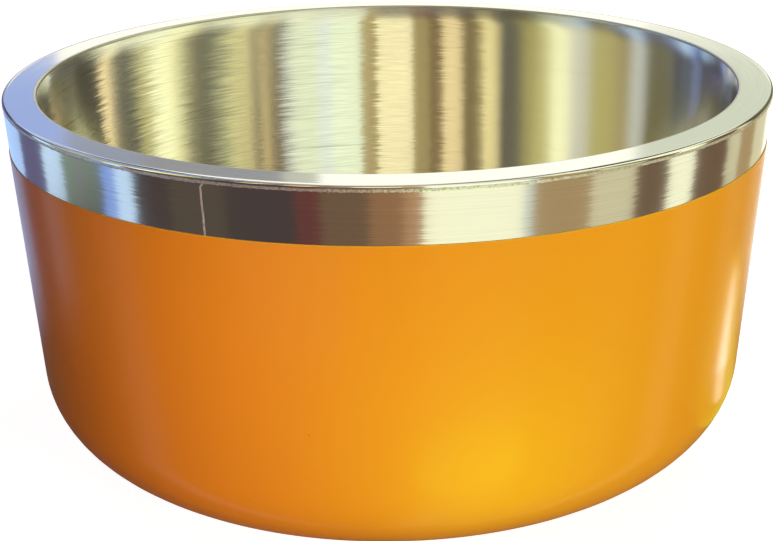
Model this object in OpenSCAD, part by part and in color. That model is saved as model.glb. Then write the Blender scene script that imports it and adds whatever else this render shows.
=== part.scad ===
// Double-wall steel dog bowl with a coloured coat and a rubber foot ring.
// The drawn inner bowl turns out into a flat lip. A rolled and seam-welded outer shell is
// butt-welded under that lip, a pressed base plate is welded into the shell's turned-in foot,
// and a rubber ring is bonded into the base plate's groove.
// Millimetres, +Z up. The origin is the centre of the foot ring's resting face.

/* [Overall] */
// Outside diameter across the lip
rim_d = 200; // [160:1:240]
// Height from the resting face to the top of the lip
bowl_h = 97; // [75:1:130]
// Lean of both walls from the vertical, in degrees
wall_lean = 3.25; // [0:0.25:8]
// Thickness of every steel sheet
sheet_t = 0.6; // [0.4:0.1:1]

/* [Lip] */
// Width of the lip, from the outer wall to the inner wall
lip_w = 8.6; // [6:0.2:12]
// Radius where the inner wall turns out into the lip
lip_inner_r = 2.5; // [1.5:0.1:4]
// Inside radius of the fold where the lip turns down to the outer wall
lip_fold_r = 0.2; // [0.1:0.1:1]
// Straight height of the lip's turned-down edge
lip_skirt = 0.1; // [0.1:0.1:2]

/* [Welds] */
// Width of the rim weld, between the lip's edge and the outer shell
rim_weld_w = 0.5; // [0.3:0.1:1.5]
// Width of the base weld, between the outer shell's foot and the base plate
base_weld_w = 1; // [0.6:0.1:1.6]
// Height of a weld's crown above the sheet
weld_crown = 0.1; // [0.05:0.01:0.3]
// Width of the outer shell's upright seam weld, at the lip
seam_w = 0.9; // [0.5:0.1:1.5]
// Direction of the seam weld round the bowl, in degrees from +X
seam_at = 247; // [0:1:359]

/* [Outer shell] */
// Radius where the outer wall turns in under the bowl
corner_r = 22; // [10:1:30]
// Height of the bare steel band, from the top of the lip to the coat
band_h = 13.3; // [8:0.1:30]
// Thickness of the coloured coat
coat_t = 0.2; // [0.1:0.05:0.4]

/* [Inner bowl] */
// Radius between the inner wall and the floor
floor_r = 18; // [8:1:30]
// Air gap between the base plate's groove and the inner floor
floor_gap = 4.4; // [2:0.2:10]

/* [Base plate] */
// Flat width of the outer shell's foot, outside the base weld
foot_land = 1.2; // [0.5:0.1:4]
// Width of the base plate's flange, between the base weld and the groove
flange_w = 2.4; // [2:0.1:6]
// Flat width between the groove and the raised centre panel
panel_land = 8; // [5:0.5:15]
// Height that the centre panel is raised above the base
panel_rise = 1.2; // [0.6:0.1:2]
// Tight-side radius of the pressed bends
bend_r = 0.6; // [0.4:0.1:0.8]

/* [Foot ring] */
// Width of the rubber ring
ring_w = 11; // [6:0.5:16]
// Height of the rubber ring
ring_h = 4; // [3.6:0.1:6]
// Height that the ring stands below the steel base
ring_drop = 1.5; // [0.5:0.1:1.8]
// Radius of the ring's resting edges
ring_edge_r = 1.2; // [0.4:0.1:1.5]
// Gap at each side of the ring in its groove
ring_gap = 0.15; // [0.05:0.05:0.4]
// Thickness of the adhesive under the ring
bond_t = 0.2; // [0.1:0.05:0.4]

/* [Hidden] */
$fn = 180;

// Furthest that a bend's chord may lie from its true arc
chord_gap = 0.02;
// Number of steps across a weld's crown
crown_steps = 6;
// Room between the ring's upper edges and the groove's bends
edge_room = 0.3;

// Wall lines
lip_outer_r = lip_fold_r + sheet_t;
down_wall = [-sin(wall_lean), -cos(wall_lean)];
lip_corner = [rim_d / 2 + lip_outer_r * ((1 + sin(wall_lean)) / cos(wall_lean) - 1), bowl_h];
lip_inner_corner = [rim_d / 2 - lip_w, bowl_h];
lip_end = lip_corner + down_wall * (lip_outer_r * tan((90 + wall_lean) / 2) + lip_skirt);
shell_start = lip_end + down_wall * rim_weld_w;
coat_start = wall_at(lip_corner, bowl_h - band_h);

// Heights, from the resting face up
base_z = ring_drop;
groove_z = ring_h + bond_t;
floor_z = groove_z + sheet_t + floor_gap + sheet_t;

// Radii under the bowl, from the shell's corner inwards
shell_corner = wall_at(lip_corner, base_z);
base_weld_r = shell_corner[0] - corner_r * tan((90 - wall_lean) / 2) - foot_land - base_weld_w / 2;
shell_end = [base_weld_r + base_weld_w / 2, base_z];
plate_edge = [base_weld_r - base_weld_w / 2, base_z];
groove_outer_r = plate_edge[0] - flange_w;
ring_outer_r = groove_outer_r - ring_gap;
ring_inner_r = ring_outer_r - ring_w;
groove_inner_r = ring_inner_r - ring_gap;
panel_r = groove_inner_r - panel_land - panel_rise;
ring_top_r = bend_r + edge_room;
open_bend_r = bend_r + sheet_t;

// Steel faces: each is the line of the face that shows, and the radius of each of its bends
inner_face = [[0, floor_z], wall_at(lip_inner_corner, floor_z), lip_inner_corner, lip_corner, lip_end];
inner_bends = [floor_r, lip_inner_r, lip_outer_r];
shell_face = [shell_start, shell_corner, shell_end];
coat_face = [coat_start, shell_corner, shell_end];
shell_bends = [corner_r];
plate_face = [
    [0, base_z + panel_rise],
    [panel_r, base_z + panel_rise],
    [panel_r + panel_rise, base_z],
    [groove_inner_r, base_z],
    [groove_inner_r, groove_z],
    [groove_outer_r, groove_z],
    [groove_outer_r, base_z],
    plate_edge
];
plate_bends = [bend_r, open_bend_r, open_bend_r, bend_r, bend_r, open_bend_r];

// Angle that the seam weld takes up round the shell, and the edge of the shell beside it
seam_angle = 2 * asin(seam_w / rim_d);
seam_edge = seam_at + seam_angle / 2;

// Point of a leaning wall at height z, for a wall that passes through the point top
function wall_at(top, z) = [top[0] - (top[1] - z) * tan(wall_lean), z];

function unit(v) = v / norm(v);
function left_of(v) = [-v[1], v[0]];
function reversed(list) = [for (i = [len(list) - 1:-1:0]) list[i]];
function flat(lists) = [for (list = lists) each list];

// Points of a bend of radius r at the corner p, between a and b, on the face set off by d to the left
function bend(a, p, b, r, d = 0) =
    let (
        u = unit(p - a),
        v = unit(b - p),
        side = sign(cross(u, v)),
        turn = acos(min(1, max(-1, u * v))),
        centre = p - u * r * tan(turn / 2) + side * r * left_of(u),
        start = -side * left_of(u),
        steps = max(3, ceil(turn * PI / 180 * sqrt(r / (8 * chord_gap))))
    )
    [
        for (i = [0:steps])
            let (angle = atan2(start[1], start[0]) + side * turn * i / steps)
            centre + (r - side * d) * [cos(angle), sin(angle)]
    ];

// Points of a bent line, set off by d to the left
function face(line, bends, d) =
    let (last = len(line) - 1)
    concat(
        [line[0] + d * left_of(unit(line[1] - line[0]))],
        flat([for (i = [1:last - 1]) bend(line[i - 1], line[i], line[i + 1], bends[i - 1], d)]),
        [line[last] + d * left_of(unit(line[last] - line[last - 1]))]
    );

// Closed outline with a radius at each of its corners
function rounded(corners, radii) =
    let (n = len(corners))
    flat([
        for (i = [0:n - 1])
            bend(corners[(i + n - 1) % n], corners[i], corners[(i + 1) % n], radii[i])
    ]);

// Section of a sheet of thickness t, which lies to the left of its face, or to the right if t is negative
module sheet(line, bends, t) {
    polygon(concat(face(line, bends, 0), reversed(face(line, bends, t))));
}

// Section of a butt weld that runs from one sheet's edge to the other's, with a crown on both faces
module weld_bead(from, to) {
    along = to - from;
    out = left_of(unit(along));
    crown = [for (i = [0:crown_steps]) weld_crown * (1 - pow(2 * i / crown_steps - 1, 2))];
    show_side = [for (i = [0:crown_steps]) from + along * i / crown_steps + out * crown[i]];
    back_side = [for (i = [0:crown_steps]) from + along * i / crown_steps - out * (sheet_t + crown[i])];
    polygon(concat(show_side, reversed(back_side)));
}

// Full turn of a section round the bowl's axis, from the edge of the shell's seam
module turned() {
    rotate([0, 0, seam_edge])
        rotate_extrude()
            children();
}

// Food bowl with its turned-out lip, drawn from one disc
module inner_bowl() {
    color("silver")
        turned()
            sheet(inner_face, inner_bends, -sheet_t);
}

// Outer wall, rolled from a strip and turned in under the bowl
module outer_shell() {
    color("lightgray")
        rotate_extrude(angle = 360 - seam_angle, start = seam_edge)
            sheet(shell_face, shell_bends, -sheet_t);
}

// Upright weld that closes the rolled outer shell
module seam_weld() {
    color("gainsboro")
        rotate_extrude(angle = seam_angle, start = seam_edge - seam_angle)
            sheet(shell_face, shell_bends, -sheet_t);
}

// Weld between the lip's turned-down edge and the outer shell
module rim_weld() {
    color("gainsboro")
        turned()
            weld_bead(lip_end, shell_start);
}

// Pressed bottom with the ring's groove and a raised centre panel
module base_plate() {
    color("silver")
        turned()
            sheet(plate_face, plate_bends, sheet_t);
}

// Weld between the outer shell's foot and the base plate
module base_weld() {
    color("gainsboro")
        turned()
            weld_bead(shell_end, plate_edge);
}

// Baked-on coat over the outer shell below the bare band
module colour_coat() {
    color("darkorange")
        turned()
            sheet(coat_face, shell_bends, coat_t);
}

// Non-slip rubber ring that the bowl stands on
module foot_ring() {
    color("dimgray")
        turned()
            polygon(rounded(
                [[ring_inner_r, 0], [ring_outer_r, 0], [ring_outer_r, ring_h], [ring_inner_r, ring_h]],
                [ring_edge_r, ring_edge_r, ring_top_r, ring_top_r]
            ));
}

// Adhesive film between the ring and the groove
module ring_adhesive() {
    color("ivory")
        translate([0, 0, ring_h])
            difference() {
                cylinder(r = ring_outer_r - ring_top_r, h = bond_t);
                translate([0, 0, -bond_t])
                    cylinder(r = ring_inner_r + ring_top_r, h = 3 * bond_t);
            }
}

inner_bowl();
outer_shell();
seam_weld();
rim_weld();
base_plate();
base_weld();
colour_coat();
foot_ring();
ring_adhesive();
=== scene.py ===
"""Double-wall steel dog bowl: its pieces, finishes, studio and camera.

The pieces are modelled in metres around the bowl's fixed frame, with +Z up and the origin at the centre of
the foot ring's resting face. A section is a short line of (radius, height) points that is turned round the
bowl's axis, rounded at its bends and, where it is a sheet, thickened like the pressed steel it stands for.
"""

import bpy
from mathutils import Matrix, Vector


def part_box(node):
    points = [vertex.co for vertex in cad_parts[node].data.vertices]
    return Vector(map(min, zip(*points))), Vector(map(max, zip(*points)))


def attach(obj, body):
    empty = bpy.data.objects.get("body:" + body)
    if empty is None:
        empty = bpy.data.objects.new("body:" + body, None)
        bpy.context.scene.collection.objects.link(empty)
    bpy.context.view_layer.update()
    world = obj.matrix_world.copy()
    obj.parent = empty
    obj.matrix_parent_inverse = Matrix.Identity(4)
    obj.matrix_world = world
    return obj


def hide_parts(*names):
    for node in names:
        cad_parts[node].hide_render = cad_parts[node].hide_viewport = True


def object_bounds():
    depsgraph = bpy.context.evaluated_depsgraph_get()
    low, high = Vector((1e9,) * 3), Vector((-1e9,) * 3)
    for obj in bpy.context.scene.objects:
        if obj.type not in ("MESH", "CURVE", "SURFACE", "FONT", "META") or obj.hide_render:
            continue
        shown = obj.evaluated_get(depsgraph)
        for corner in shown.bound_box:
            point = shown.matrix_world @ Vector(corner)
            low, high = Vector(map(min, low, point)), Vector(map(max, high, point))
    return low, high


bl_info = {
    "name": "Dog bowl",
    "version": (1, 0, 0),
    "blender": (4, 5, 0),
    "location": "3D View > Sidebar > Dog bowl",
    "description": "Models and finishes a double-wall steel dog bowl with a coloured coat",
    "category": "Object",
}

import math

import bmesh
import bpy
from bpy.props import FloatProperty, FloatVectorProperty, IntProperty, PointerProperty
from mathutils import Matrix, Vector, noise

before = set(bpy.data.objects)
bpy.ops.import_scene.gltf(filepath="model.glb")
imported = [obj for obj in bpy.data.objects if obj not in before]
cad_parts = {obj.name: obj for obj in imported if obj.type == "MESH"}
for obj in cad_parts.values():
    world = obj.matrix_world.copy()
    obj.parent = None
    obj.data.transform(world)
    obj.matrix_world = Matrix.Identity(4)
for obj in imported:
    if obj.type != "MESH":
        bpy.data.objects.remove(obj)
CAD_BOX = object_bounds()

MM = 0.001
FULL_TURN = 2 * math.pi
MERGE_GAP = 1e-7
RING_TOLERANCE = 1e-5
SHARP_ANGLE = math.radians(40)
ROUND_UV = "Round"


def reach(node_name):
    """Largest radius of a frame node about the bowl's axis, to a tenth of a millimetre."""
    low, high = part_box(node_name)
    return round(max(-low.x, high.x, -low.y, high.y), 4)


def top_of(node_name):
    """Height of a frame node's highest point."""
    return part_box(node_name)[1].z


def bottom_of(node_name):
    """Height of a frame node's lowest point."""
    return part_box(node_name)[0].z


def length(name, description, default):
    """A size in metres that a user can change."""
    return FloatProperty(
        name=name, description=description, default=default, min=0, precision=5, unit="LENGTH"
    )


def angle(name, description, degrees):
    """An angle that a user can change."""
    return FloatProperty(name=name, description=description, default=math.radians(degrees), subtype="ANGLE")


def amount(name, description, default, least=0):
    """A plain number that a user can change."""
    return FloatProperty(name=name, description=description, default=default, min=least)


def colour(name, description, default):
    """A linear colour that a user can change."""
    return FloatVectorProperty(
        name=name, description=description, default=default, size=3, min=0, max=1, subtype="COLOR"
    )


class BowlSizes(bpy.types.PropertyGroup):
    """Sizes of the bowl. Those that the frame can give come from it."""

    rim_radius: length("Rim radius", "Outside radius of the lip", reach("inner_bowl"))
    rim_height: length("Rim height", "Height of the lip's top", top_of("inner_bowl"))
    base_height: length("Base height", "Height of the steel base above the floor", bottom_of("base_plate"))
    coat_top: length("Coat top", "Height of the coat's upper edge", top_of("colour_coat"))
    floor_under: length("Floor underside", "Height of the inner floor's underside", bottom_of("inner_bowl"))
    weld_top: length("Rim weld top", "Height of the rim weld's upper edge", top_of("rim_weld"))
    weld_bottom: length("Rim weld bottom", "Height of the rim weld's lower edge", bottom_of("rim_weld"))
    plate_radius: length("Base plate radius", "Outside radius of the base plate", reach("base_plate"))
    shell_foot: length("Base weld radius", "Outside radius of the base weld", reach("base_weld"))
    ring_radius: length("Ring radius", "Outside radius of the foot ring", reach("foot_ring"))
    ring_height: length("Ring height", "Height of the foot ring", top_of("foot_ring"))
    ring_width: length("Ring width", "Width of the foot ring", 11 * MM)
    ring_gap: length("Ring gap", "Gap at each side of the ring in its groove", 0.15 * MM)
    ring_edge: length("Ring edge", "Radius of the ring's edges", 1.2 * MM)
    bond: length("Adhesive", "Thickness of the adhesive over the ring", 0.2 * MM)
    panel_land: length("Panel land", "Flat width between the groove and the centre panel", 8 * MM)
    panel_rise: length("Panel rise", "Height of the centre panel above the base", 1.2 * MM)
    press_radius: length("Press radius", "Tight-side radius of the base plate's bends", 0.6 * MM)
    sheet: length("Sheet", "Thickness of the steel sheet", 0.6 * MM)
    coat: length("Coat", "Thickness of the coloured coat", 0.2 * MM)
    coat_edge: length("Coat edge", "Radius of the coat's upper edge", 0.14 * MM)
    coat_waver: length("Coat waver", "Unevenness of the coat's upper edge", 0.04 * MM)
    wall_lean: angle("Wall lean", "Lean of both walls from the vertical", 3.25)
    lip_width: length("Lip width", "Width of the lip from the outer to the inner wall", 8.6 * MM)
    lip_inner_radius: length("Lip inner radius", "Radius from the inner wall to the lip", 0.7 * MM)
    lip_fold_radius: length("Lip fold radius", "Radius from the lip to the outer wall", 0.8 * MM)
    lip_edge_radius: length("Lip edge radius", "Radius of the lip's edge over the rim weld", 0.65 * MM)
    lip_ease: length("Lip ease", "Drop of the lip's eased outer edge", 0.13 * MM)
    lip_ease_width: length("Lip ease width", "Width of the lip's eased outer edge", 1.1 * MM)
    lip_ease_radius: length("Lip ease radius", "Radius from the lip's flat to its eased edge", 5 * MM)
    weld_groove: length("Weld groove", "Depth of the groove over the rim weld", 0.1 * MM)
    corner_radius: length("Corner radius", "Radius from the outer wall to the base", 22 * MM)
    floor_radius: length("Floor radius", "Radius from the inner wall to the floor", 18 * MM)
    seam_angle: angle("Seam direction", "Direction of the seam weld round the bowl, from +X", 247)
    seam_width: length("Seam width", "Width of the seam weld", 0.6 * MM)
    weld_crown: length("Weld crown", "Height of the weld beads over the sheet", 0.09 * MM)
    steps: IntProperty(name="Steps", description="Steps in a full turn", default=288, min=24)


class BowlFinish(bpy.types.PropertyGroup):
    """Colours of the bowl's materials, in linear light."""

    inner_steel: colour("Inner steel", "Brushed steel of the inner bowl", (0.756, 0.742, 0.665))
    lip_steel: colour("Lip steel", "Satin steel of the lip", (0.78, 0.77, 0.74))
    band_steel: colour("Band steel", "Near-polished steel of the bare band", (0.74, 0.71, 0.66))
    weld_steel: colour("Weld steel", "Steel of the weld beads", (0.72, 0.71, 0.66))
    base_steel: colour("Base steel", "Steel of the base plate", (0.66, 0.65, 0.62))
    coat: colour("Coat", "Orange of the baked coat", (0.88, 0.37, 0.020))
    coat_deep: colour("Deep coat", "Deeper orange where the coat is thick", (0.85, 0.34, 0.019))
    # Painted highlight: a paler orange that stands for light catching the coat's upper edge
    coat_edge: colour("Coat edge", "Paler orange of the coat's thin upper edge", (0.95, 0.56, 0.05))
    rubber: colour("Rubber", "Black of the foot ring", (0.022, 0.022, 0.023))
    adhesive: colour("Adhesive", "Cured adhesive over the ring", (0.62, 0.58, 0.48))
    floor: colour("Floor", "Pale studio floor", (0.55, 0.55, 0.545))


class BowlStudio(bpy.types.PropertyGroup):
    """Camera and light. The camera's place is taken from the centre of the lip's top."""

    camera_distance: length("Camera distance", "Distance from the lip's centre to the camera", 0.4)
    camera_height: angle("Camera elevation", "Elevation of the camera above the lip", 13.333)
    camera_pitch: angle("Camera pitch", "Downward tilt of the camera", 20.953)
    camera_yaw: angle("Camera yaw", "Turn of the camera to the right", -0.126)
    camera_roll: angle("Camera roll", "Roll of the camera", -0.837)
    focal_length: amount("Focal length", "Lens length in millimetres", 69.3, least=1)
    ambient: amount("Ambient", "Level of the soft light from all round", 0.03)
    floor_glow: amount("Floor glow", "White that the camera sees added to the floor", 0.92)
    key: amount("Key", "Level of the key lamp's light on the bowl", 0.65)
    strip: amount("Strip", "Level of the warm strip lamp", 0.2)
    backs: amount("Backs", "Level of the two lamps behind the bowl", 0.3)


# Tones of the cards that the steel mirrors, in linear light
TONES = {
    "white": (1.3, 1.28, 1.14),
    "cream": (1.25, 1.3, 0.95),
    "vanilla": (1.6, 1.47, 0.89),
    "oat": (1.5, 1.3, 0.63),
    "butter": (1.43, 1.44, 0.86),
    "peach": (1.43, 1.16, 0.62),
    "mint": (1.13, 1.27, 0.94),
    "apricot": (1.2, 0.94, 0.42),
    "haze": (1.0, 1.12, 1.1),
    "lime": (0.98, 1.1, 0.8),
    "straw": (0.9, 0.83, 0.39),
    "mist": (0.86, 0.84, 0.69),
    "sand": (0.8, 0.76, 0.5),
    "willow": (0.76, 0.81, 0.64),
    "pearl": (0.75, 0.76, 0.68),
    "fog": (0.75, 0.85, 0.78),
    "pale": (0.75, 0.7, 0.62),
    "ice": (0.72, 1.0, 1.35),
    "celery": (0.62, 0.64, 0.52),
    "khaki": (0.62, 0.56, 0.2),
    "ochre": (0.56, 0.46, 0.19),
    "rust": (0.54, 0.31, 0.16),
    "frost": (0.5, 0.74, 1.2),
    "tan": (0.5, 0.36, 0.18),
    "dove": (0.45, 0.43, 0.38),
    "sage": (0.43, 0.46, 0.26),
    "lilac": (0.38, 0.5, 0.9),
    "clay": (0.36, 0.2, 0.1),
    "ash": (0.33, 0.34, 0.36),
    "steel": (0.33, 0.37, 0.47),
    "azure": (0.3, 0.48, 1.05),
    "bronze": (0.3, 0.22, 0.09),
    "moss": (0.27, 0.37, 0.31),
    "cobalt": (0.2, 0.24, 0.42),
    "loam": (0.2, 0.18, 0.08),
    "umber": (0.2, 0.13, 0.08),
    "lichen": (0.17, 0.165, 0.13),
    "wine": (0.17, 0.06, 0.055),
    "slate": (0.15, 0.14, 0.27),
    "olive": (0.14, 0.13, 0.09),
    "cocoa": (0.115, 0.093, 0.072),
    "dusk": (0.085, 0.065, 0.062),
    "bark": (0.07, 0.065, 0.05),
    "ink": (0.055, 0.05, 0.06),
}


def card_tiers():
    """The lowest cards of the room that the steel mirrors, and the tiers of cards that lie over them.

    A card starts at an azimuth in degrees, from the front towards the right, and runs to the next one. None
    leaves a tier clear. A tier takes over from the ones before it between two heights of the view
    direction. The low cards show in the outer band, the next ones in the lip and the high ones in the inner
    wall, which mirrors the room's left at its right.
    """
    left = [
        (-180, "white"), (-165, "frost"), (-138, "slate"), (-121, "ice"), (-110, "moss"), (-104, "ash"),
        (-100, "moss"),
    ]
    front = [
        (-92, "azure"), (-87, "ice"), (-79, "dusk"), (-67, "cocoa"), (-48, "dusk"), (-27, "wine"),
        (-21, "umber"), (-6, "clay"), (3, "rust"), (9, "cream"), (38, "fog"), (41, "tan"), (60, "sand"),
        (75, "umber"), (87.5, "cream"), (99, "umber"),
    ]
    right = [(116, "sand"), (124, "tan"), (136, "sand"), (150, "white")]
    lip_ends = [(-180, "steel"), (-158, "slate"), (-120, None), (126, "loam"), (158, "sage")]
    lip_back = [(-180, "pale"), (-172, None), (172, "pale")]
    low_back = [(-180, "white"), (-164, None), (156, "white")]
    wall_left = [
        (-180, None), (-158, "ink"), (-142, "cobalt"), (-135, "bark"), (-126, "loam"), (-112, "pearl"),
        (-105, "ochre"), (-98, "khaki"), (-86.3, "mist"), (-78.5, "butter"), (-69, "khaki"), (-60, None),
    ]
    wall_right = [
        (60, "straw"), (67.5, "sage"), (72.5, "olive"), (84.5, "straw"), (89, "butter"), (99.5, "khaki"),
        (106, "bark"), (119, "peach"), (124.3, "bark"), (138, "lichen"), (158, None),
    ]
    back_sides = [(-180, None), (-168.5, "lilac"), (-158, None), (158, "willow"), (169.05, None)]
    back_middle = [(-180, None), (-178.2, "celery"), (-176, "ash"), (-171.5, "steel"), (-168.5, None)]
    back = [(-180, "white"), (-158, None), (158, "white")]
    back_ends = [(-180, None), (-170, "ink"), (-158, None), (158, "ink"), (170, None)]
    wall_front = [
        (-180, None), (-60, "khaki"), (-58.5, "lichen"), (-48.5, "oat"), (-41.8, "bronze"),
        (-32.4, "peach"), (-25.2, "bronze"), (-19, "ochre"), (-12.6, "vanilla"), (3.8, "ochre"),
        (10.2, "mint"), (23, "haze"), (29, "lime"), (40.5, "pearl"), (44.9, "bark"), (49.5, "apricot"),
        (53.3, "bark"), (57, "straw"), (60, None),
    ]
    brim_back = [(-180, None), (-158, "ice"), (-145, None)]
    brim_back_left = [(-180, None), (-158, "azure"), (-143, "ice"), (-134, "slate"), (-127, None)]
    brim_back_right = [(-180, None), (120, "cream"), (146, None)]
    brim_sides = [
        (-180, None), (-126, "slate"), (-119.5, "ice"), (-112, "bark"), (-104, None), (100, "cream"),
        (120, None),
    ]
    brim_left = [(-180, None), (-104, "bark"), (-97, "ice"), (-89, None)]
    brim_flanks = [(-180, None), (-89, "bark"), (-60, None), (60, "cream"), (100, None)]
    brim_front = [
        (-180, None), (-60, "bark"), (-26, "wine"), (-14, "bark"), (4, None), (9, "cream"), (60, None),
    ]
    ceiling = [(-180, "dove")]
    lowest = [(-180, "dusk"), *front]
    tiers = [
        ([*left, *front, *right], -0.4, -0.34),
        (lip_ends, -0.2, -0.16),
        (lip_back, -0.2, -0.16),
        (low_back, 0.15, 0.17),
        ([*wall_left, *wall_right], 0.15, 0.17),
        (back_sides, 0.195, 0.215),
        (back_middle, 0.225, 0.25),
        (back, 0.33, 0.37),
        (back_ends, 0.37, 0.41),
        (brim_back, 0.28, 0.36),
        (brim_back_left, 0.34, 0.42),
        (wall_front, 0.48, 0.52),
        (brim_sides, 0.47, 0.57),
        (brim_back_right, 0.42, 0.52),
        (brim_left, 0.61, 0.7),
        (brim_flanks, 0.71, 0.79),
        (brim_front, 0.76, 0.82),
        (ceiling, 0.88, 0.92),
    ]
    return lowest, tiers


def wall_radius(sizes, height):
    """Outer wall's radius at a height. The lip's fold is tangent to it at the rim's full radius."""
    fold = sizes.lip_fold_radius
    lean = sizes.wall_lean
    corner = sizes.rim_radius + fold * ((1 + math.sin(lean)) / math.cos(lean) - 1)
    return corner - (sizes.rim_height - height) * math.tan(lean)


def inner_radius(sizes, height):
    """Inner wall's radius at a height, on the food side."""
    return sizes.rim_radius - sizes.lip_width - (sizes.rim_height - height) * math.tan(sizes.wall_lean)


def groove_radii(sizes):
    """Inner and outer radius of the base plate's groove, which holds the foot ring."""
    outer = sizes.ring_radius + sizes.ring_gap
    return outer - sizes.ring_width - 2 * sizes.ring_gap, outer


def ring_edges(bm, radius, height):
    """Edges of the circle at that radius and height."""

    def on_circle(vert):
        miss = abs(math.hypot(vert.co.x, vert.co.y) - radius)
        return miss < RING_TOLERANCE and abs(vert.co.z - height) < RING_TOLERANCE

    return [edge for edge in bm.edges if all(on_circle(vert) for vert in edge.verts)]


def turn_line(line, steps, closed=False, start=0.0, turn=FULL_TURN):
    """A bmesh of a line of (radius, height) points turned round the bowl's axis."""
    bm = bmesh.new()
    verts = [bm.verts.new((radius, 0, height)) for radius, height in line]
    ends = zip(verts, verts[1:] + verts[:1]) if closed else zip(verts, verts[1:])
    edges = [bm.edges.new(pair) for pair in ends]
    bmesh.ops.rotate(bm, verts=verts, cent=(0, 0, 0), matrix=Matrix.Rotation(start, 3, "Z"))
    bmesh.ops.spin(
        bm,
        geom=verts + edges,
        cent=(0, 0, 0),
        axis=(0, 0, 1),
        angle=turn,
        steps=steps,
        use_merge=turn == FULL_TURN,
    )
    bmesh.ops.remove_doubles(bm, verts=bm.verts, dist=MERGE_GAP)
    bmesh.ops.recalc_face_normals(bm, faces=bm.faces)
    return bm


def bevel_ring(bm, point, offset, segments):
    """Rounds the circle through a (radius, height) point, from that offset along both its faces."""
    bmesh.ops.bevel(
        bm,
        geom=ring_edges(bm, *point),
        offset=offset,
        offset_type="OFFSET",
        segments=segments,
        profile=0.5,
        affect="EDGES",
        material=-1,
    )


def round_bend(bm, line, bend, radius, segments):
    """Rounds a turned line at one of its points to the given radius."""
    index = line.index(bend)
    before, point, after = (Vector(line[(index + step) % len(line)]) for step in (-1, 0, 1))
    turn = (point - before).angle(after - point)
    bevel_ring(bm, bend, radius * math.tan(turn / 2), segments)


def turned_wall(sizes, top, steps, segments, **part):
    """Outer wall from a height down and in to the base weld. A part of it has a start and a turn."""
    low = sizes.base_height
    corner = (wall_radius(sizes, low), low)
    line = [(wall_radius(sizes, top), top), corner, (sizes.shell_foot, low)]
    bm = turn_line(line, steps, **part)
    round_bend(bm, line, corner, sizes.corner_radius, segments)
    return bm


def round_angle(place):
    """Angle of a point round the bowl's axis."""
    return math.atan2(place.y, place.x)


def grain_at(turn, height, grain):
    """Smooth noise from -1 to 1 on a cylinder round the bowl, with a grain in metres."""
    radius = CAD_BOX[1].x
    return noise.noise(Vector((math.cos(turn) * radius, math.sin(turn) * radius, height)) / grain)


def face_towards(bm, direction, at):
    """Turns an open surface so that the face nearest a point looks along the direction."""
    bm.faces.ensure_lookup_table()
    nearest = min(bm.faces, key=lambda face: (face.calc_center_median() - Vector(at)).length)
    if nearest.normal.dot(Vector(direction)) < 0:
        bmesh.ops.reverse_faces(bm, faces=bm.faces)


def thicken(bm, thickness):
    """Gives an open surface a thickness behind its face."""
    bmesh.ops.solidify(bm, geom=bm.faces, thickness=thickness)
    bmesh.ops.recalc_face_normals(bm, faces=bm.faces)


def unwrap_round(bm):
    """Writes a UV map whose U runs round the bowl and whose V runs along the section."""
    layer = bm.loops.layers.uv.new(ROUND_UV)
    for face in bm.faces:
        start = round_angle(face.calc_center_median())
        for loop in face.loops:
            place = loop.vert.co
            radius = math.hypot(place.x, place.y)
            turn = start
            if radius > RING_TOLERANCE:
                turn += math.remainder(round_angle(place) - start, FULL_TURN)
            loop[layer].uv = (turn / FULL_TURN, (radius + place.z) / FULL_TURN)


def add_object(name, data):
    """Puts a new object with that data into the scene."""
    made = bpy.data.objects.new(name, data)
    bpy.context.scene.collection.objects.link(made)
    return made


def add_piece(bm, name, nodes, materials):
    """Makes a finished piece of a bmesh, which stands for frame nodes and rides on the bowl."""
    unwrap_round(bm)
    mesh = bpy.data.meshes.new(name)
    bm.to_mesh(mesh)
    bm.free()
    mesh.shade_smooth()
    mesh.set_sharp_from_angle(angle=SHARP_ANGLE)
    for material in materials:
        mesh.materials.append(material)
    piece = add_object(name, mesh)
    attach(piece, "root")
    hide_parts(*nodes)


def feed(tree, made, inputs):
    """Fills a node's inputs. Each is a value or a socket to link from."""
    for name, value in inputs.items():
        if isinstance(value, bpy.types.NodeSocket):
            tree.links.new(value, made.inputs[name])
        else:
            made.inputs[name].default_value = value


def node(tree, kind, inputs=None, **settings):
    """Adds a node with its settings and inputs."""
    made = tree.nodes.new(kind)
    for name, value in settings.items():
        setattr(made, name, value)
    feed(tree, made, inputs or {})
    return made


def maths(tree, operation, first, second=0.0):
    """Output of a Math node."""
    return node(tree, "ShaderNodeMath", {0: first, 1: second}, operation=operation).outputs[0]


def vector_maths(tree, operation, first, second=(0, 0, 0)):
    """Output of a Vector Math node. A length is a number, and the others are vectors."""
    made = node(tree, "ShaderNodeVectorMath", {0: first, 1: second}, operation=operation)
    return made.outputs["Value" if operation == "LENGTH" else "Vector"]


def ranged(tree, value, from_ends=(0.0, 1.0), to_ends=(0.0, 1.0), **settings):
    """Value mapped from one pair of ends to another, where it stops."""
    ends = {"From Min": from_ends[0], "From Max": from_ends[1], "To Min": to_ends[0], "To Max": to_ends[1]}
    return node(tree, "ShaderNodeMapRange", {"Value": value, **ends}, **settings).outputs[0]


def spread(tree, value, low, high):
    """Value from 0 to 1 mapped to a range."""
    return ranged(tree, value, to_ends=(low, high))


def two_tone(tree, factor, first, second):
    """Colour between two, each of them a tone or a socket."""
    inputs = {"Factor": factor}
    for name, tone in (("A", first), ("B", second)):
        inputs[name] = tone if isinstance(tone, bpy.types.NodeSocket) else (*tone, 1)
    return node(tree, "ShaderNodeMix", inputs, data_type="RGBA").outputs["Result"]


def shade(tone, share):
    """Colour made lighter or darker by a share."""
    return tuple(min(1, part * share) for part in tone)


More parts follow.
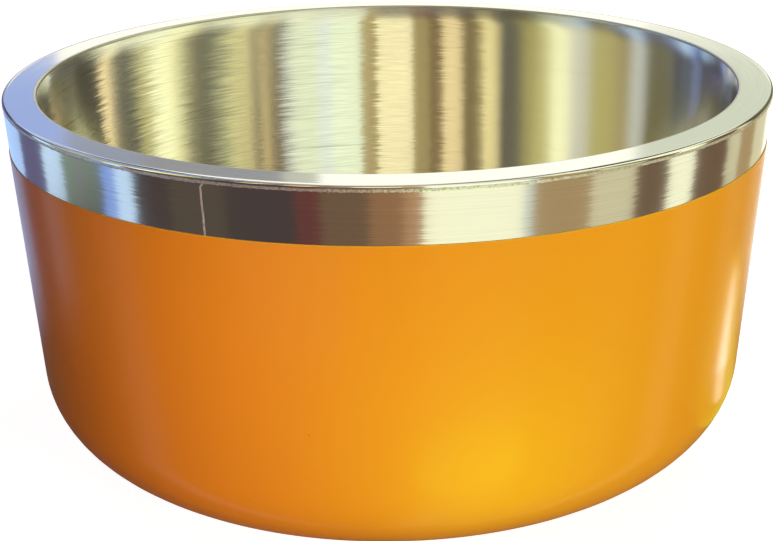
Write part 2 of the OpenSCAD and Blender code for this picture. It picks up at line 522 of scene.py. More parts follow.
def speckle(tree, grain, detail=2.0):
    """Noise all over a piece, with a grain in metres."""
    place = node(tree, "ShaderNodeTexCoord").outputs["Object"]
    settings = {"Vector": place, "Scale": 1 / grain, "Detail": detail}
    return node(tree, "ShaderNodeTexNoise", settings).outputs[0]


def bumped(tree, height, strength, distance, **inputs):
    """Normal of a Bump node."""
    inputs.update({"Height": height, "Strength": strength, "Distance": distance})
    return node(tree, "ShaderNodeBump", inputs).outputs["Normal"]


def new_group(name, inputs, outputs):
    """A shader node group. Its inputs are numbers. Returns its tree, input node and output node."""
    tree = bpy.data.node_groups.new(name, "ShaderNodeTree")
    for label, default in inputs.items():
        socket = tree.interface.new_socket(label, in_out="INPUT", socket_type="NodeSocketFloat")
        socket.default_value = default
    for label, kind in outputs.items():
        tree.interface.new_socket(label, in_out="OUTPUT", socket_type="NodeSocket" + kind)
    return tree, tree.nodes.new("NodeGroupInput"), tree.nodes.new("NodeGroupOutput")


def turned_brushing():
    """Group: fine lines that run round the bowl on walls and flats alike, scratches and soft clouds.

    Its normal sways along the brushing from line to line, which frays the edges of what the steel mirrors.
    It also tilts across lines that are too fine to see, which smears what the steel mirrors across the
    brushing. The lift is the tilt's middle on upright walls, for grooves that are steeper on one side, and
    grows above the brim's height. The fade is the share that the lines, the scratches, the sway and the
    tilt lose towards +X, where the steel has been polished down.
    """
    name = "Turned brushing"
    if name in bpy.data.node_groups:
        return bpy.data.node_groups[name]
    inputs = {
        "Line Width": 0.3 * MM,
        "Streak Length": 25 * MM,
        "Sway": 0.05,
        "Tilt": 0.0,
        "Lift": 0.0,
        "Brim": 1.0,
        "Fade": 0.0,
    }
    outputs = {"Lines": "Float", "Scratches": "Float", "Clouds": "Float", "Normal": "Vector"}
    tree, given, result = new_group(name, inputs, outputs)
    place = node(tree, "ShaderNodeTexCoord").outputs["Object"]
    x, y, z = node(tree, "ShaderNodeSeparateXYZ", {0: place}).outputs
    flat = node(tree, "ShaderNodeCombineXYZ", {"X": x, "Y": y}).outputs[0]
    along = maths(tree, "ADD", vector_maths(tree, "LENGTH", flat), z)

    def streaks(width_share, length_share, detail):
        """Noise drawn out round the bowl, at a share of the lines' width and of the streaks' length."""
        width = maths(tree, "MULTIPLY", given.outputs["Line Width"], width_share)
        run = maths(tree, "MULTIPLY", given.outputs["Streak Length"], length_share)
        drawn_out = {
            "X": maths(tree, "DIVIDE", x, run),
            "Y": maths(tree, "DIVIDE", y, run),
            "Z": maths(tree, "DIVIDE", along, width),
        }
        vector = node(tree, "ShaderNodeCombineXYZ", drawn_out).outputs[0]
        settings = {"Vector": vector, "Scale": 1.0, "Detail": detail}
        return node(tree, "ShaderNodeTexNoise", settings).outputs[0]

    polish_ends = (-20 * MM, 40 * MM)
    polished = ranged(tree, x, polish_ends, (0.0, given.outputs["Fade"]))
    kept = maths(tree, "SUBTRACT", 1.0, polished)

    def swing(lines):
        """Noise about zero, as far as the brushing is kept."""
        return maths(tree, "MULTIPLY", maths(tree, "SUBTRACT", lines, 0.5), kept)

    line_swing = swing(streaks(1.0, 1.0, 1.5))
    sway = maths(tree, "MULTIPLY", line_swing, given.outputs["Sway"])
    tilt = maths(tree, "MULTIPLY", swing(streaks(0.05, 0.02, 0.0)), given.outputs["Tilt"])
    brim_depth, brim_share = 5 * MM, 1.5
    over_brim = maths(tree, "SUBTRACT", z, given.outputs["Brim"])
    flare = ranged(tree, over_brim, (0.0, brim_depth), (1.0, brim_share), interpolation_type="SMOOTHSTEP")
    lift = maths(tree, "MULTIPLY", given.outputs["Lift"], flare)
    smooth = node(tree, "ShaderNodeNewGeometry").outputs["Normal"]
    upright = maths(tree, "SUBTRACT", 1.0, node(tree, "ShaderNodeSeparateXYZ", {0: smooth}).outputs["Z"])
    lifted = maths(tree, "ADD", tilt, maths(tree, "MULTIPLY", lift, upright))
    round_way = vector_maths(tree, "NORMALIZE", vector_maths(tree, "CROSS_PRODUCT", (0, 0, 1), flat))
    across = vector_maths(tree, "CROSS_PRODUCT", round_way, smooth)
    turned = smooth
    for way, share in ((round_way, sway), (across, lifted)):
        lean = node(tree, "ShaderNodeVectorMath", {0: way, "Scale": share}, operation="SCALE").outputs[0]
        turned = vector_maths(tree, "ADD", turned, lean)
    scratch_ends = (0.72, 0.82)
    shown = {
        "Lines": maths(tree, "ADD", line_swing, 0.5),
        "Scratches": ranged(tree, streaks(0.8, 4.0, 0.0), scratch_ends, (0.0, kept)),
        "Clouds": streaks(30.0, 1.5, 2.0),
        "Normal": vector_maths(tree, "NORMALIZE", turned),
    }
    feed(tree, result, shown)
    return tree


def handling():
    """Group: soft smudges and small specks, at a size in metres."""
    name = "Handling"
    if name in bpy.data.node_groups:
        return bpy.data.node_groups[name]
    inputs = {"Smudge Size": 30 * MM, "Speck Size": 5 * MM}
    tree, given, result = new_group(name, inputs, {"Smudges": "Float", "Specks": "Float"})
    place = node(tree, "ShaderNodeTexCoord").outputs["Object"]
    smudge_scale = maths(tree, "DIVIDE", 1.0, given.outputs["Smudge Size"])
    smudges = node(tree, "ShaderNodeTexNoise", {"Vector": place, "Scale": smudge_scale, "Detail": 3.0})
    speck_scale = maths(tree, "DIVIDE", 1.0, given.outputs["Speck Size"])
    cells = node(tree, "ShaderNodeTexVoronoi", {"Vector": place, "Scale": speck_scale})
    speck_edge, speck_core = 0.035, 0.02
    dots = ranged(tree, cells.outputs["Distance"], (speck_edge, speck_core))
    shuffle = node(tree, "ShaderNodeSeparateColor", {0: cells.outputs["Color"]}).outputs[0]
    bare_share = 0.8
    specks = maths(tree, "MULTIPLY", dots, maths(tree, "GREATER_THAN", shuffle, bare_share))
    feed(tree, result, {"Smudges": smudges.outputs[0], "Specks": specks})
    return tree


def new_material(name):
    """A material with its Principled BSDF. Returns the material, its tree and the shader."""
    material = bpy.data.materials.new(name)
    material.use_nodes = True
    tree = material.node_tree
    return material, tree, tree.nodes["Principled BSDF"]


def brushed_steel(name, tone, roughness, anisotropy, contrast, relief, brushing):
    """Steel brushed round the bowl, whose reflections smear across the brush lines.

    The contrast is the share by which the lines lighten and darken the tone, the relief is the strength of
    their bump, and the brushing holds the inputs of the group of that name.
    """
    material, tree, shader = new_material(name)
    brush = node(tree, "ShaderNodeGroup", brushing, node_tree=turned_brushing())
    wear = node(tree, "ShaderNodeGroup", node_tree=handling())
    lines = brush.outputs["Lines"]
    fine = two_tone(tree, lines, shade(tone, 1 - contrast), shade(tone, 1 + contrast))
    patchy = maths(tree, "MULTIPLY", brush.outputs["Clouds"], wear.outputs["Smudges"])
    round_way = node(tree, "ShaderNodeTangent", direction_type="UV_MAP", uv_map=ROUND_UV)
    surface = {
        "Base Color": two_tone(tree, brush.outputs["Scratches"], fine, shade(tone, 1 - 1.5 * contrast)),
        "Roughness": spread(tree, patchy, roughness * 0.9, roughness * 1.2),
        "Normal": bumped(tree, lines, relief, 0.01 * MM, Normal=brush.outputs["Normal"]),
        "Tangent": round_way.outputs["Tangent"],
        "Metallic": 1.0,
        "Anisotropic": anisotropy,
        "Anisotropic Rotation": 0.25,
    }
    feed(tree, shader, surface)
    return material


def weld_metal(name, tone, grain, roughness, metallic):
    """Rough, lightly polished weld metal."""
    material, tree, shader = new_material(name)
    lumps = speckle(tree, grain, detail=4.0)
    surface = {
        "Base Color": two_tone(tree, lumps, shade(tone, 0.5), shade(tone, 1.4)),
        "Roughness": spread(tree, lumps, roughness * 0.7, roughness * 1.3),
        "Normal": bumped(tree, lumps, strength=1.0, distance=0.12 * MM),
        "Metallic": metallic,
    }
    feed(tree, shader, surface)
    return material


def baked_coat(name, deep, tone):
    """Satin baked coat with a slight orange peel, soft smudges and a few specks of dust under it."""
    material, tree, shader = new_material(name)
    sizes = {"Smudge Size": 45 * MM, "Speck Size": 6 * MM}
    wear = node(tree, "ShaderNodeGroup", sizes, node_tree=handling())
    smudges, specks = wear.outputs["Smudges"], wear.outputs["Specks"]
    peel = speckle(tree, 0.9 * MM, detail=1.5)
    surface = {
        "Base Color": two_tone(tree, specks, two_tone(tree, smudges, deep, tone), shade(deep, 0.55)),
        "Roughness": spread(tree, smudges, 0.17, 0.23),
        "Normal": bumped(tree, maths(tree, "SUBTRACT", peel, specks), strength=0.2, distance=0.05 * MM),
        "Specular IOR Level": 0.1,
        "Sheen Weight": 0.08,
        "Sheen Roughness": 0.2,
    }
    feed(tree, shader, surface)
    return material


def moulded_rubber(finish):
    """Matt moulded rubber with a fine grain."""
    material, tree, shader = new_material("moulded_rubber")
    grain = speckle(tree, 0.4 * MM, detail=3.0)
    surface = {
        "Base Color": two_tone(tree, grain, shade(finish.rubber, 0.8), shade(finish.rubber, 1.4)),
        "Roughness": spread(tree, grain, 0.6, 0.8),
        "Normal": bumped(tree, grain, strength=0.3, distance=0.05 * MM),
    }
    feed(tree, shader, surface)
    return material


def cured_adhesive(finish):
    """Milky adhesive film with small bubbles."""
    material, tree, shader = new_material("cured_adhesive")
    bubbles = speckle(tree, 1.5 * MM)
    surface = {
        "Base Color": two_tone(tree, bubbles, shade(finish.adhesive, 0.85), shade(finish.adhesive, 1.1)),
        "Roughness": spread(tree, bubbles, 0.35, 0.5),
    }
    feed(tree, shader, surface)
    return material


class BowlOperator:
    """What the operators of the bowl share."""

    bl_options = {"REGISTER", "UNDO"}


class DOGBOWL_OT_stage(BowlOperator, bpy.types.Operator):
    """Set the camera, the pale floor, the lamps and the room that the steel mirrors"""

    bl_idname = "dog_bowl.stage"
    bl_label = "Stage"

    # Half width of the floor, height that the lamps face and height of the glows, in metres
    FLOOR_REACH = 6
    AIM_HEIGHT = 0.05
    GLOW_HEIGHT = 4 * MM

    def execute(self, context):
        studio = context.scene.dog_bowl_studio
        self.set_camera(context, studio, context.scene.dog_bowl_sizes.rim_height)
        self.lay_floor(context.scene.dog_bowl_finish.floor, studio.floor_glow)
        self.hang_lamps(studio)
        self.paint_room(context, studio.ambient)
        context.scene.view_settings.view_transform = "Standard"
        return {"FINISHED"}

    def set_camera(self, context, studio, rim_height):
        """Camera at the photograph's viewing angle."""
        data = bpy.data.cameras.new("photo_camera")
        data.sensor_width = 36
        data.lens = studio.focal_length
        camera = add_object("photo_camera", data)
        context.scene.camera = camera
        out = studio.camera_distance * math.cos(studio.camera_height)
        up = studio.camera_distance * math.sin(studio.camera_height)
        aim = (
            Matrix.Rotation(-studio.camera_yaw, 4, "Z")
            @ Matrix.Rotation(math.pi / 2 - studio.camera_pitch, 4, "X")
            @ Matrix.Rotation(studio.camera_roll, 4, "Z")
        )
        camera.matrix_world = Matrix.Translation((0, -out, rim_height + up)) @ aim

    def lay_floor(self, tone, level):
        """Pale floor that is white to the camera, apart from the bowl's shadow."""
        bm = bmesh.new()
        bmesh.ops.create_grid(bm, x_segments=1, y_segments=1, size=self.FLOOR_REACH)
        mesh = bpy.data.meshes.new("studio_floor")
        bm.to_mesh(mesh)
        bm.free()
        floor = add_object("studio_floor", mesh)
        floor.visible_glossy = False
        material, tree, shader = new_material("studio_floor")
        feed(tree, shader, {"Base Color": (*tone, 1), "Roughness": 0.9})
        glow = node(tree, "ShaderNodeEmission", {"Color": (1, 1, 1, 1), "Strength": level})
        lit = node(tree, "ShaderNodeAddShader", {0: shader.outputs[0], 1: glow.outputs[0]})
        seen = node(tree, "ShaderNodeLightPath").outputs["Is Camera Ray"]
        shown = node(tree, "ShaderNodeMixShader", {0: seen, 1: shader.outputs[0], 2: lit.outputs[0]})
        feed(tree, tree.nodes["Material Output"], {"Surface": shown.outputs[0]})
        mesh.materials.append(material)

    def hang_lamps(self, studio):
        """Soft lamps round the bowl, and low glows that stand for light thrown up by the floor."""
        self.aim_lamp(
            "key_lamp", azimuth=40, elevation=4, size=(0.5, 0.2), level=studio.key, tone=(1.0, 0.95, 0.6)
        )
        self.aim_lamp(
            "strip_lamp",
            azimuth=-22,
            elevation=-2,
            size=(0.1, 0.16),
            level=studio.strip,
            tone=(1.0, 0.475, 0.8),
            distance=0.22,
        )
        self.aim_lamp(
            "right_back_lamp",
            azimuth=150,
            elevation=20,
            size=(0.4, 0.4),
            level=studio.backs,
            tone=(1.0, 0.95, 0.85),
        )
        self.aim_lamp(
            "left_back_lamp",
            azimuth=-145,
            elevation=15,
            size=(0.4, 0.4),
            level=studio.backs,
            tone=(0.85, 0.45, 0.5),
        )
        self.lay_glow(
            "right_glow", (0.149, 0.013), size=(0.012, 0.118), turn=-49, power=0.017, tone=(1.0, 0.95, 0.8)
        )
        self.lay_glow(
            "right_halo", (0.152, 0.012), size=(0.05, 0.16), turn=-49, power=0.014, tone=(0.7, 1.0, 0.0)
        )
        self.lay_glow(
            "front_glow", (0.035, -0.13), size=(0.055, 0.034), turn=0, power=0.021, tone=(0.3, 1.0, 0.0)
        )

    def aim_lamp(self, name, azimuth, elevation, size, level, tone, distance=0.9):
        """Lamp that faces the bowl. Its azimuth is from the front towards the right, in degrees."""
        turn, lift = math.radians(azimuth), math.radians(elevation)
        away = Vector((math.sin(turn) * math.cos(lift), -math.cos(turn) * math.cos(lift), math.sin(lift)))
        power = level * (math.pi * distance) ** 2
        lamp = self.add_lamp(name, size, power, tone)
        lamp.visible_glossy = False
        facing = away.to_track_quat("Z", "Y").to_matrix().to_4x4()
        lamp.matrix_world = Matrix.Translation(away * distance + Vector((0, 0, self.AIM_HEIGHT))) @ facing

    def lay_glow(self, name, place, size, turn, power, tone):
        """Lamp that lies just over the floor, turned by an angle in degrees, and faces up."""
        lamp = self.add_lamp(name, size, power, tone)
        facing = Matrix.Rotation(math.radians(turn), 4, "Z") @ Matrix.Rotation(math.pi, 4, "X")
        lamp.matrix_world = Matrix.Translation((*place, self.GLOW_HEIGHT)) @ facing

    def add_lamp(self, name, size, power, tone):
        """Area lamp that the camera doesn't see."""
        data = bpy.data.lights.new(name, "AREA")
        data.shape = "ELLIPSE"
        data.size, data.size_y = size
        data.energy = power
        data.color = tone
        lamp = add_object(name, data)
        lamp.visible_camera = False
        return lamp

    def paint_room(self, context, ambient):
        """White background, soft ambient light and, for what the steel mirrors, a room of upright cards."""
        world = bpy.data.worlds.new("studio_room")
        context.scene.world = world
        world.use_nodes = True
        tree = world.node_tree
        tree.nodes.clear()
        rays = node(tree, "ShaderNodeLightPath")
        seen = maths(tree, "MAXIMUM", rays.outputs["Is Camera Ray"], rays.outputs["Is Transmission Ray"])
        soft = node(tree, "ShaderNodeBackground", {"Color": (1, 0.98, 0.95, 1), "Strength": ambient})
        mirrored = node(tree, "ShaderNodeBackground", {"Color": self.room_of_cards(tree)})
        plain = node(tree, "ShaderNodeBackground", {"Color": (1, 1, 1, 1), "Strength": 1.0})
        glossy = rays.outputs["Is Glossy Ray"]
        lit = node(tree, "ShaderNodeMixShader", {0: glossy, 1: soft.outputs[0], 2: mirrored.outputs[0]})
        shown = node(tree, "ShaderNodeMixShader", {0: seen, 1: lit.outputs[0], 2: plain.outputs[0]})
        node(tree, "ShaderNodeOutputWorld", {"Surface": shown.outputs[0]})

    def room_of_cards(self, tree):
        """Colour of the cards along a view direction."""
        direction = node(tree, "ShaderNodeTexCoord").outputs["Generated"]
        x, y, z = node(tree, "ShaderNodeSeparateXYZ", {0: direction}).outputs
        azimuth = maths(tree, "ARCTAN2", x, maths(tree, "MULTIPLY", y, -1.0))
        turn = ranged(tree, azimuth, (-math.pi, math.pi))
        lowest, tiers = card_tiers()
        room = self.card_ramp(tree, turn, lowest).outputs["Color"]
        for cards, start, end in tiers:
            ramp = self.card_ramp(tree, turn, cards)
            factor = maths(tree, "MULTIPLY", ranged(tree, z, (start, end)), ramp.outputs["Alpha"])
            room = two_tone(tree, factor, room, ramp.outputs["Color"])
        return room

    def card_ramp(self, tree, turn, cards):
        """Ramp that gives the card at a turn from 0 to 1. It is clear where there is none."""
        ramp = node(tree, "ShaderNodeValToRGB", {"Fac": turn})
        ramp.color_ramp.interpolation = "CONSTANT"
        stops = ramp.color_ramp.elements
        stops.remove(stops[1])
        for degrees, _ in cards[1:]:
            stops.new(degrees / 360 + 0.5)
        for stop, (_, name) in zip(stops, cards):
            stop.color = (*TONES[name], 1) if name else (0, 0, 0, 0)
        return ramp


class DOGBOWL_OT_inner_bowl(BowlOperator, bpy.types.Operator):
    """Model the drawn inner bowl with its turned-out lip"""

    bl_idname = "dog_bowl.inner_bowl"
    bl_label = "Inner bowl"

    # Places of the materials
    INSIDE, LIP, BEND = range(3)
    # Rings that hold the lip flat: a share of the inner bend's radius past it, and a gap before the ease
    HOLD_SHARE = 1.02
    HOLD_GAP = 0.4 * MM
    # Depth of the brim, where the inside's brushing lifts more
    BRIM_DEPTH = 6 * MM

    def execute(self, context):
        sizes = context.scene.dog_bowl_sizes
        bm = self.turn_bowl(sizes)
        self.part_finishes(bm, sizes)
        thicken(bm, sizes.sheet)
        steels = self.make_steels(context.scene.dog_bowl_finish, sizes.rim_height)
        add_piece(bm, "inner_bowl_brushed", ["inner_bowl"], steels)
        return {"FINISHED"}

    def turn_bowl(self, sizes):
        """Surface of the food side and the lip, down to the rim weld."""
        floor = sizes.floor_under + sizes.sheet
        rim = sizes.rim_height
        ease = rim - sizes.lip_ease
        edge = ease - sizes.lip_edge_radius
        groove = edge - sizes.weld_groove
        floor_bend = (inner_radius(sizes, floor), floor)
        lip_bend = (inner_radius(sizes, rim), rim)
        ease_bend = (wall_radius(sizes, rim) - sizes.lip_ease_width, rim)
        lip_edge = (wall_radius(sizes, ease), ease)
        line = [
            (0, floor),
            floor_bend,
            lip_bend,
            (lip_bend[0] + self.HOLD_SHARE * sizes.lip_inner_radius, rim),
            (ease_bend[0] - self.HOLD_GAP, rim),
            ease_bend,
            lip_edge,
            (wall_radius(sizes, edge), edge),
            (wall_radius(sizes, groove) - sizes.weld_groove, groove),
            (wall_radius(sizes, sizes.weld_top) - sizes.weld_groove, sizes.weld_top),
        ]
        bm = turn_line(line, sizes.steps)
        round_bend(bm, line, floor_bend, sizes.floor_radius, segments=16)
        round_bend(bm, line, lip_bend, sizes.lip_inner_radius, segments=8)
        round_bend(bm, line, ease_bend, sizes.lip_ease_radius, segments=4)
        round_bend(bm, line, lip_edge, sizes.lip_edge_radius, segments=8)
        face_towards(bm, (0, 0, 1), (0, 0, floor))
        return bm

    def part_finishes(self, bm, sizes):
        """Gives the lip and its inner bend materials of their own. The rest keeps the inside's."""
        lip_start = inner_radius(sizes, sizes.rim_height) + sizes.lip_inner_radius
        bend_start = sizes.rim_height - sizes.lip_inner_radius
        for face in bm.faces:
            middle = face.calc_center_median()
            face.material_index = self.INSIDE
            if math.hypot(middle.x, middle.y) > lip_start:
                face.material_index = self.LIP
            elif middle.z > bend_start:
                face.material_index = self.BEND

    def make_steels(self, finish, rim):
        """Brushed steel of the inside, satin steel of the lip and dull steel of the bend, in that order.
        The bend's steel is rougher, and its darker tone is painted shade.
        """
        inside = brushed_steel(
            "steel_brushed_inside",
            finish.inner_steel,
            roughness=0.17,
            anisotropy=1.0,
            contrast=0.2,
            relief=0.2,
            brushing={
                "Line Width": 0.45 * MM,
                "Streak Length": 10 * MM,
                "Sway": 0.07,
                "Tilt": 0.2,
                "Lift": 0.45,
                "Brim": rim - self.BRIM_DEPTH,
                "Fade": 0.85,
            },
        )
        lip = brushed_steel(
            "steel_satin_lip",
            finish.lip_steel,
            roughness=0.09,
            anisotropy=0.5,
            contrast=0.07,
            relief=0.15,
            brushing={"Line Width": 0.22 * MM, "Streak Length": 18 * MM, "Sway": 0.02},
        )
        bend = brushed_steel(
            "steel_dull_bend_painted_shade",
            # A darker copy of the inside's steel: painted shade on the lip's inner bend
            shade(finish.inner_steel, 0.75),
            roughness=0.32,
            anisotropy=0.3,
            contrast=0.15,
            relief=0.2,
            brushing={"Line Width": 0.3 * MM, "Streak Length": 12 * MM, "Sway": 0.05},
        )
        return [inside, lip, bend]


class DOGBOWL_OT_outer_shell(BowlOperator, bpy.types.Operator):
    """Model the rolled outer wall, which shows as the bare band"""

    bl_idname = "dog_bowl.outer_shell"
    bl_label = "Outer shell"

    def execute(self, context):
        sizes = context.scene.dog_bowl_sizes
        top = sizes.weld_bottom
        bm = turned_wall(sizes, top, sizes.steps, segments=18)
        face_towards(bm, (1, 0, 0), (wall_radius(sizes, top), 0, top))
        thicken(bm, sizes.sheet)
        band = brushed_steel(
            "steel_polished_band",
            context.scene.dog_bowl_finish.band_steel,
            roughness=0.13,
            anisotropy=0.6,
            contrast=0.06,
            relief=0.12,
            brushing={"Line Width": 0.25 * MM, "Streak Length": 30 * MM, "Sway": 0.04},
        )
        add_piece(bm, "outer_shell_band", ["outer_shell"], [band])
        return {"FINISHED"}


class DOGBOWL_OT_colour_coat(BowlOperator, bpy.types.Operator):
    """Model the baked coat with its rounded, slightly uneven upper edge"""

    bl_idname = "dog_bowl.colour_coat"
    bl_label = "Colour coat"

    # Depth of the edge that wavers, and the grain of its waver
    WAVER_DEPTH = 1 * MM
    WAVER_GRAIN = 5 * MM

    def execute(self, context):
        sizes = context.scene.dog_bowl_sizes
        finish = context.scene.dog_bowl_finish
        bm = self.turn_coat(sizes)
        # The faces of the coat's upper edge take a paler orange, a painted highlight where light catches
        # the edge
        highlight_start = sizes.coat_top - 2 * sizes.coat_edge
        for face in bm.faces:
            face.material_index = int(face.calc_center_median().z > highlight_start)
        body = baked_coat("orange_baked_coat", finish.coat_deep, finish.coat)
        highlit = baked_coat("orange_painted_highlight_edge", finish.coat_edge, finish.coat_edge)
        add_piece(bm, "orange_coat", ["colour_coat"], [body, highlit])
        return {"FINISHED"}

    def turn_coat(self, sizes):
        """Coat that thickens outwards, away from the steel that its first face looks at."""
        top, lean = sizes.coat_top, sizes.wall_lean
        start = wall_radius(sizes, top)
        bm = turned_wall(sizes, top, 2 * sizes.steps, segments=18)
        face_towards(bm, (-1, 0, 0), (start, 0, top))
        thicken(bm, sizes.coat)
        edge = (start + sizes.coat * math.cos(lean), top - sizes.coat * math.sin(lean))
        bevel_ring(bm, edge, sizes.coat_edge, segments=4)
        for vert in bm.verts:
            if vert.co.z > top - self.WAVER_DEPTH:
                lift = sizes.coat_waver * (grain_at(round_angle(vert.co), 0, self.WAVER_GRAIN) - 1)
                vert.co.xy *= 1 + lift * math.tan(lean) / vert.co.xy.length
                vert.co.z += lift
        return bm


class DOGBOWL_OT_ring_welds(BowlOperator, bpy.types.Operator):
    """Model the rough beads of the rim weld and the base weld"""

    bl_idname = "dog_bowl.ring_welds"
    bl_label = "Ring welds"

    # Steps across a bead's arch, and cuts in each of its steps round the bowl
    ARCH_STEPS = 8
    HOOP_CUTS = 7
    # Shares of its width by which a bead laps over the sheet at its start and at its end
    START_LAP = 0.1
    END_LAP = 0.2
    # Grains of the lumps, and their share of the crown
    LUMP_GRAINS = (0.9 * MM, 0.4 * MM)
    LUMP_SHARE = 0.7

    def execute(self, context):
        sizes = context.scene.dog_bowl_sizes
        tone = context.scene.dog_bowl_finish.weld_steel
        steel = weld_metal("steel_weld_bead", tone, grain=0.6 * MM, roughness=0.3, metallic=0.75)
        lip_end = Vector((wall_radius(sizes, sizes.weld_top), sizes.weld_top))
        shell_start = Vector((wall_radius(sizes, sizes.weld_bottom), sizes.weld_bottom))
        shell_end = Vector((sizes.shell_foot, sizes.base_height))
        plate_edge = Vector((sizes.plate_radius, sizes.base_height))
        self.lay_bead(sizes, "rim_weld_bead", "rim_weld", lip_end, shell_start, steel)
        self.lay_bead(sizes, "base_weld_bead", "base_weld", shell_end, plate_edge, steel)
        return {"FINISHED"}

    def lay_bead(self, sizes, name, node_name, start, end, steel):
        """Bead that lies over both sheets' edges, with a crown that rises and falls along it."""
        along = end - start
        out = Vector((-along.y, along.x)).normalized()
        sunk = sizes.weld_crown / 3
        steps = range(self.ARCH_STEPS + 1)
        arch = [self.arch_point(sizes, start, along, out, sunk, step) for step in steps]
        line = arch + [end - out * sizes.sheet, start - out * sizes.sheet]
        bm = turn_line(line, sizes.steps, closed=True)
        hoops = [edge for edge in bm.edges if self.is_hoop(edge)]
        bmesh.ops.subdivide_edges(bm, edges=hoops, cuts=self.HOOP_CUTS, use_grid_fill=True)
        for vert in bm.verts:
            turn = round_angle(vert.co)
            depth = (Vector((vert.co.xy.length, vert.co.z)) - start).dot(out)
            if depth > -2 * sunk:
                lumps = sum(grain_at(turn, vert.co.z, grain) for grain in self.LUMP_GRAINS)
                rise = sizes.weld_crown * self.LUMP_SHARE * lumps
                vert.co += rise * Vector((out.x * math.cos(turn), out.x * math.sin(turn), out.y))
        add_piece(bm, name, [node_name], [steel])

    def arch_point(self, sizes, start, along, out, sunk, step):
        """Point of a bead's arch, which stands half the crown high and has its ends sunk."""
        share = step / self.ARCH_STEPS
        side = 2 * share - 1
        crown = sizes.weld_crown / 2 * (1 - side**2) - sunk * abs(side)
        reached = (1 + self.START_LAP + self.END_LAP) * share - self.START_LAP
        return start + along * reached + out * crown

    def is_hoop(self, edge):
        """Whether an edge runs round the bowl."""
        first, second = (Vector((vert.co.xy.length, vert.co.z)) for vert in edge.verts)
        return (first - second).length < RING_TOLERANCE


class DOGBOWL_OT_seam_weld(BowlOperator, bpy.types.Operator):
    """Model the narrow upright weld of the rolled wall, which curls over where it meets the rim weld"""

    bl_idname = "dog_bowl.seam_weld"
    bl_label = "Seam weld"

    # Rows along the seam's bare stretch, and steps across the seam
    ROWS = 48
    STRIP_STEPS = 8
    # Grain of the crown's lumps, their share of it, and the share by which its edges are sunk
    LUMP_GRAIN = 0.6 * MM
    LUMP_SHARE = 0.25
    EDGE_SINK = 0.3
    # Height and shift of the curl, grain and shift of the waver, and how far the seam is set back
    CURL_HEIGHT = 1.2 * MM
    CURL_SHIFT = 0.8 * MM
    WAVER_GRAIN = 3 * MM
    WAVER_SHIFT = 0.12 * MM
    SET_BACK = 0.4 * MM

    def execute(self, context):
        sizes = context.scene.dog_bowl_sizes
        top = sizes.weld_bottom
        turn = sizes.seam_width / sizes.rim_radius
        start = sizes.seam_angle - turn / 2
        bm = turned_wall(sizes, top, self.STRIP_STEPS, segments=12, start=start, turn=turn)
        bare = top - sizes.coat_top
        for row in range(1, self.ROWS):
            cut = bm.verts[:] + bm.edges[:] + bm.faces[:]
            height = top - bare * row / self.ROWS
            bmesh.ops.bisect_plane(bm, geom=cut, plane_co=(0, 0, height), plane_no=(0, 0, 1))
        side = Vector((math.cos(sizes.seam_angle), math.sin(sizes.seam_angle), 0))
        face_towards(bm, side, side * wall_radius(sizes, top) + Vector((0, 0, top)))
        bm.normal_update()
        rises = {vert: self.rise(sizes, vert, turn) * vert.normal for vert in bm.verts}
        for vert, rise in rises.items():
            sway = self.sway(sizes, vert.co.z)
            vert.co = Matrix.Rotation(sway / sizes.rim_radius, 3, "Z") @ (vert.co + rise)
        thicken(bm, sizes.sheet)
        tone = context.scene.dog_bowl_finish.weld_steel
        seam = weld_metal("steel_seam", tone, grain=0.8 * MM, roughness=0.5, metallic=0.65)
        add_piece(bm, "seam_weld_strip", ["seam_weld"], [seam])
        return {"FINISHED"}

    def rise(self, sizes, vert, turn):
        """Height of the seam's crown over the wall. Its edges are sunk into the wall."""
        across = math.remainder(round_angle(vert.co) - sizes.seam_angle, FULL_TURN) / (turn / 2)
        lump = grain_at(sizes.seam_angle, vert.co.z, self.LUMP_GRAIN)
        crown = 1 - self.LUMP_SHARE + self.LUMP_SHARE * lump
        return sizes.weld_crown * (crown * (1 - across**2) - self.EDGE_SINK)

    def sway(self, sizes, height):
        """Shift of the seam along the wall: a slow waver, and a curl at its upper end."""
        curl = max(0, 1 - (sizes.weld_bottom - height) / self.CURL_HEIGHT) ** 2
        waver = grain_at(sizes.seam_angle, height, self.WAVER_GRAIN)
        return self.WAVER_SHIFT * waver + self.CURL_SHIFT * curl - self.SET_BACK


class DOGBOWL_OT_base(BowlOperator, bpy.types.Operator):
    """Model the pressed base plate"""

    bl_idname = "dog_bowl.base"
    bl_label = "Base plate"

    def execute(self, context):
        sizes = context.scene.dog_bowl_sizes
        low = sizes.base_height
        panel = low + sizes.panel_rise
        groove = sizes.ring_height + sizes.bond
        groove_in, groove_out = groove_radii(sizes)
        step_out = groove_in - sizes.panel_land
        line = [
            (0, panel),
            (step_out - sizes.panel_rise, panel),
            (step_out, low),
            (groove_in, low),
            (groove_in, groove),
            (groove_out, groove),
            (groove_out, low),
            (sizes.plate_radius, low),
        ]
        bm = turn_line(line, sizes.steps)
        tight, wide = sizes.press_radius, sizes.press_radius + sizes.sheet
        for bend, radius in zip(line[1:-1], (tight, wide, wide, tight, tight, wide)):
            round_bend(bm, line, bend, radius, segments=5)
        face_towards(bm, (0, 0, -1), (0, 0, panel))
        thicken(bm, sizes.sheet)
        steel = brushed_steel(
            "steel_pressed_base",
            context.scene.dog_bowl_finish.base_steel,
            roughness=0.32,
            anisotropy=0.7,
            contrast=0.1,
            relief=0.3,
            brushing={"Line Width": 0.3 * MM, "Streak Length": 30 * MM, "Sway": 0.03},
        )
        add_piece(bm, "base_plate_pressed", ["base_plate"], [steel])
        return {"FINISHED"}


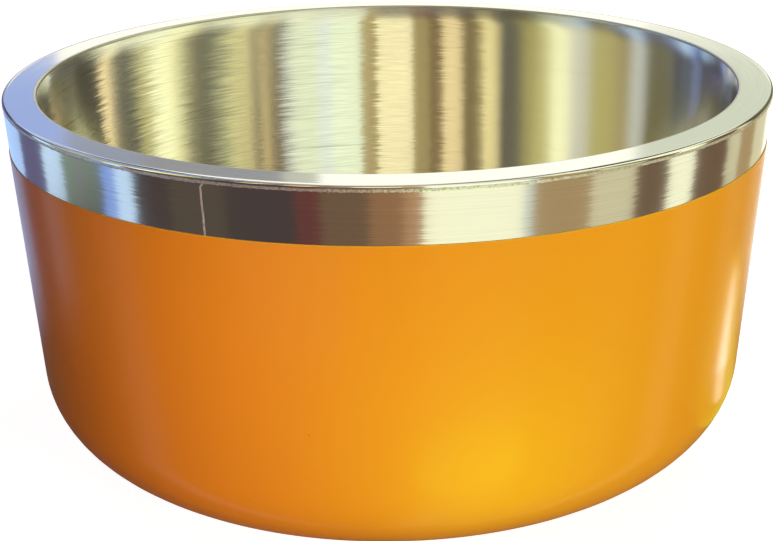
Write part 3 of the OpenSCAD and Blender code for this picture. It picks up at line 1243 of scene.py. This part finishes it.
class DOGBOWL_OT_foot_ring(BowlOperator, bpy.types.Operator):
    """Model the rubber foot ring and finish the adhesive over it"""

    bl_idname = "dog_bowl.foot_ring"
    bl_label = "Foot ring"

    def execute(self, context):
        sizes = context.scene.dog_bowl_sizes
        finish = context.scene.dog_bowl_finish
        outer, inner = sizes.ring_radius, sizes.ring_radius - sizes.ring_width
        line = [(inner, 0), (outer, 0), (outer, sizes.ring_height), (inner, sizes.ring_height)]
        bm = turn_line(line, sizes.steps, closed=True)
        for bend in line:
            round_bend(bm, line, bend, sizes.ring_edge, segments=6)
        bmesh.ops.recalc_face_normals(bm, faces=bm.faces)
        add_piece(bm, "foot_ring_rubber", ["foot_ring"], [moulded_rubber(finish)])
        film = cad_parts["ring_adhesive"]
        film.data.materials.clear()
        film.data.materials.append(cured_adhesive(finish))
        return {"FINISHED"}


class DOGBOWL_PT_panel(bpy.types.Panel):
    """Lists the bowl's sizes, colours and pieces"""

    bl_idname = "DOGBOWL_PT_panel"
    bl_label = "Dog bowl"
    bl_space_type = "VIEW_3D"
    bl_region_type = "UI"
    bl_category = "Dog bowl"

    def draw(self, context):
        scene = context.scene
        for group in (scene.dog_bowl_sizes, scene.dog_bowl_finish, scene.dog_bowl_studio):
            box = self.layout.box()
            for name in group.__annotations__:
                box.prop(group, name)
        for operator in OPERATORS:
            self.layout.operator(operator.bl_idname)


OPERATORS = (
    DOGBOWL_OT_stage,
    DOGBOWL_OT_inner_bowl,
    DOGBOWL_OT_outer_shell,
    DOGBOWL_OT_colour_coat,
    DOGBOWL_OT_ring_welds,
    DOGBOWL_OT_seam_weld,
    DOGBOWL_OT_base,
    DOGBOWL_OT_foot_ring,
)
CLASSES = (BowlSizes, BowlFinish, BowlStudio, *OPERATORS, DOGBOWL_PT_panel)


def register():
    """Registers the classes and gives the scene its settings."""
    for cls in CLASSES:
        bpy.utils.register_class(cls)
    bpy.types.Scene.dog_bowl_sizes = PointerProperty(type=BowlSizes)
    bpy.types.Scene.dog_bowl_finish = PointerProperty(type=BowlFinish)
    bpy.types.Scene.dog_bowl_studio = PointerProperty(type=BowlStudio)


def unregister():
    """Takes the settings and the classes away again."""
    del bpy.types.Scene.dog_bowl_studio
    del bpy.types.Scene.dog_bowl_finish
    del bpy.types.Scene.dog_bowl_sizes
    for cls in reversed(CLASSES):
        bpy.utils.unregister_class(cls)


def main():
    """Makes the stage and every piece."""
    register()
    bpy.ops.dog_bowl.stage()
    bpy.ops.dog_bowl.inner_bowl()
    bpy.ops.dog_bowl.outer_shell()
    bpy.ops.dog_bowl.colour_coat()
    bpy.ops.dog_bowl.ring_welds()
    bpy.ops.dog_bowl.seam_weld()
    bpy.ops.dog_bowl.base()
    bpy.ops.dog_bowl.foot_ring()


if __name__ == "__main__":
    main()
